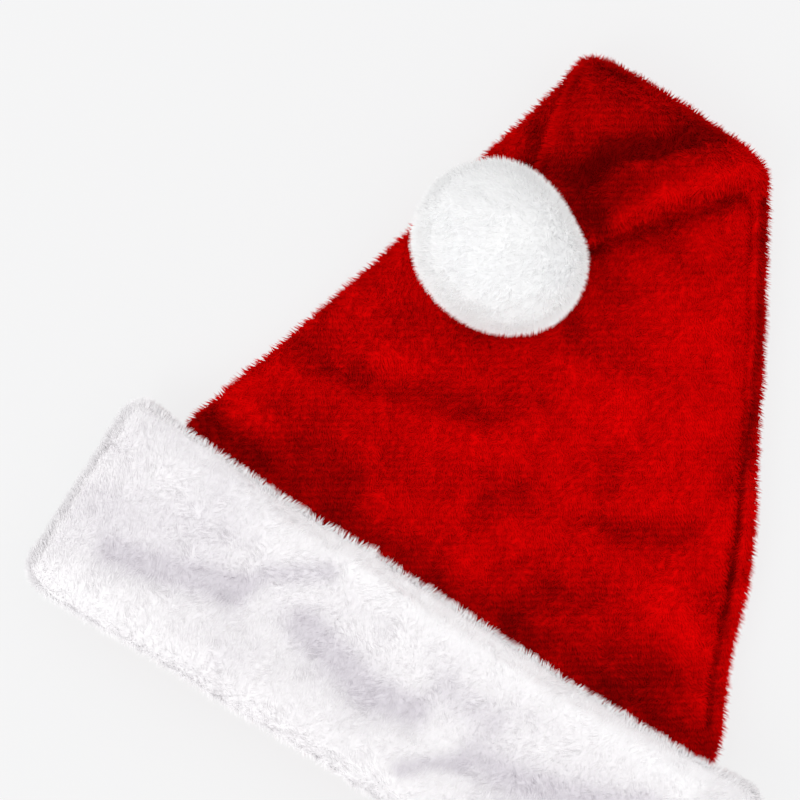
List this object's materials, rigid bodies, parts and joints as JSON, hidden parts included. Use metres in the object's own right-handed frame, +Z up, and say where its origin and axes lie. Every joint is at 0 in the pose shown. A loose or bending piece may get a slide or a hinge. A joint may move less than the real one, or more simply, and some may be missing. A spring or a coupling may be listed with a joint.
{
  "type": "plush pompom hat",
  "caption": "Pointed plush hat lying flat: hollow red crown with its peak folded over, wide white furry cuff round the mouth and a white pompom on the end of the peak.",
  "frame": {"origin": "on the surface that the hat lies on, under the middle of its outline", "axes": "+Y from the mouth up the hat towards the fold, +X across the hat, +Z up from the surface"},
  "size_m": [0.3242, 0.3254, 0.0917],
  "materials": {
    "red_plush": "short dense pile, matt with a soft sheen",
    "white_plush": "long soft pile, matt",
    "white_fur": "dense soft pile, matt"
  },
  "bodies": {
    "root": {"crown": "red_plush", "cuff": "white_plush", "pompom": "white_fur"}
  },
  "joints": []
}
